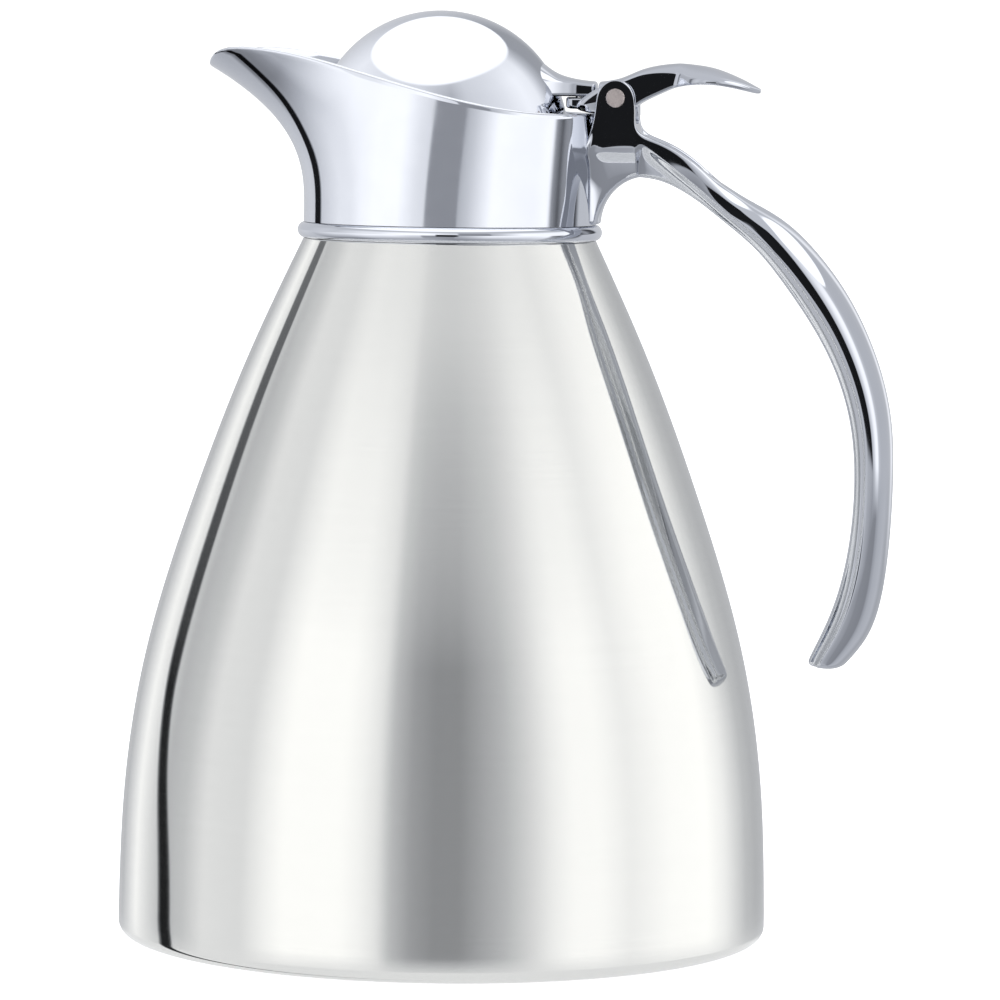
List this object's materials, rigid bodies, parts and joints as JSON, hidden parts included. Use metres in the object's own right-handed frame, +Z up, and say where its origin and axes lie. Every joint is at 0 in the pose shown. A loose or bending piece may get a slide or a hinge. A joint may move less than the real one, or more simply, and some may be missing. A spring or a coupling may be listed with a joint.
{
  "type": "vacuum coffee pot",
  "caption": "Bell-shaped double-wall steel coffee pot with a polished spout head, an open-ended C handle and a domed lid that tips up when its thumb lever is pressed.",
  "frame": {"origin": "centre of the foot pad's underside, on the table", "axes": "+Z up along the pot's axis, -X towards the spout, +X towards the handle, Y across; the pot is symmetric about Y = 0"},
  "size_m": [0.1665, 0.1402, 0.2],
  "materials": {
    "polished_steel": "mirror polished stainless sheet",
    "plain_steel": "satin stainless sheet",
    "chrome_plate": "bright chrome plate on a polished casting",
    "pin_steel": "turned and brushed",
    "screw_steel": "plain stainless wire and screws",
    "seal_brass": "dull",
    "pad_rubber": "matte",
    "silicone": "satin silicone",
    "insert_plastic": "matte moulded",
    "washer_nylon": "natural nylon",
    "foam": "rigid foam"
  },
  "bodies": {
    "pot": {"outer_shell": "polished_steel", "outer_bottom": "plain_steel", "vacuum_seal": "seal_brass", "base_cover": "plain_steel", "foot_pad": "pad_rubber", "inner_wall": "plain_steel", "inner_bottom": "plain_steel", "getter": "seal_brass", "neck_ring": "chrome_plate", "thread_ring": "insert_plastic", "neck_gasket": "silicone", "pouring_insert": "insert_plastic", "spout_head": "chrome_plate", "handle": "chrome_plate", "handle_screws": "screw_steel", "hinge_pin": "pin_steel", "hinge_washers": "washer_nylon", "hinge_spring": "screw_steel"},
    "lid": {"lid_dome": "chrome_plate", "thumb_lever": "chrome_plate", "lever_screws": "screw_steel", "lid_insert": "insert_plastic", "insert_screws": "screw_steel", "lid_gasket": "silicone", "lid_insulation": "foam"}
  },
  "joints": [
    {"name": "lid_hinge", "type": "hinge", "parent": "pot", "child": "lid", "pos_m": [0.036, 0, 0.1818], "axis": [0, 1, 0], "range_deg": [0, 34], "stiffness_Nm_per_rad": 0.05, "springref_deg": -34.38, "deforming": ["hinge_spring"]}
  ]
}
